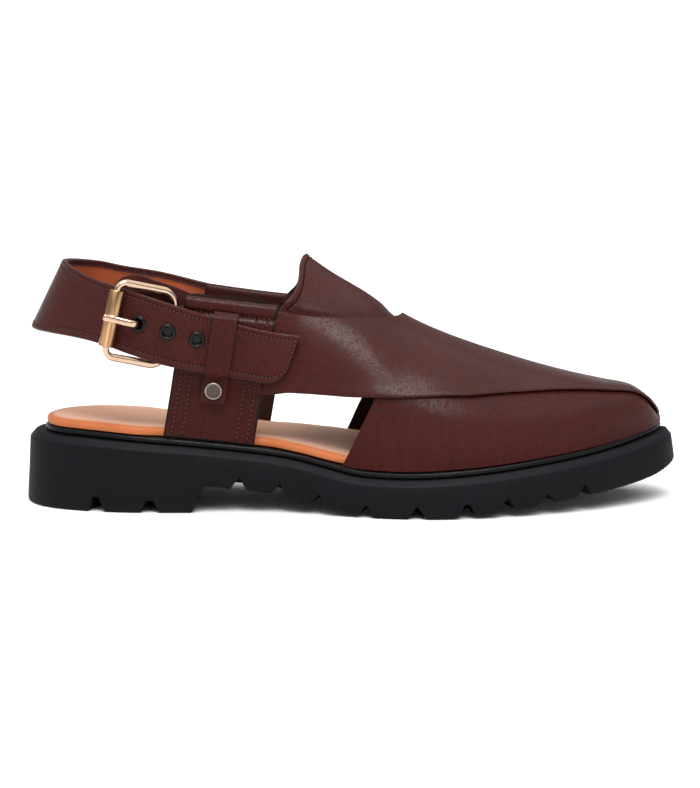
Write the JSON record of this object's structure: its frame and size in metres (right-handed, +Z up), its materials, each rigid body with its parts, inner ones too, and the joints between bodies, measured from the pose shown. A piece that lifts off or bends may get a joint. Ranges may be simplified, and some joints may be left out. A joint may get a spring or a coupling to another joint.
{
  "type": "peshawari chappal",
  "caption": "Right-foot closed-toe sandal with crossed leather vamp bands, a peaked tongue, a buckled heel strap and a notched lug sole.",
  "frame": {"origin": "on the floor, in the middle of the flat under the heel", "axes": "+X to the toe, +Y to the inner (medial) side of the foot, +Z up"},
  "size_m": [0.3057, 0.1064, 0.1171],
  "materials": {
    "rubber": "matt black moulded rubber, paler chamfer",
    "black_rand": "glossy black edge band",
    "insole_leather": "soft tan leather, orange rolled edge",
    "brown_leather": "polished dark reddish-brown leather, brushed grain",
    "gold": "polished gold plate",
    "black_metal": "black enamelled eyelet",
    "dark_metal": "aged nickel rivet"
  },
  "bodies": {
    "root": {"outsole": "rubber", "midsole": "black_rand", "insole": "insole_leather", "upper": "brown_leather", "heel_strap": "brown_leather", "keeper": "brown_leather", "buckle_frame": "gold", "buckle_roller": "gold", "buckle_prong": "gold", "eyelet_1": "black_metal", "eyelet_2": "black_metal", "eyelet_3": "black_metal", "rivet": "dark_metal"}
  },
  "joints": []
}
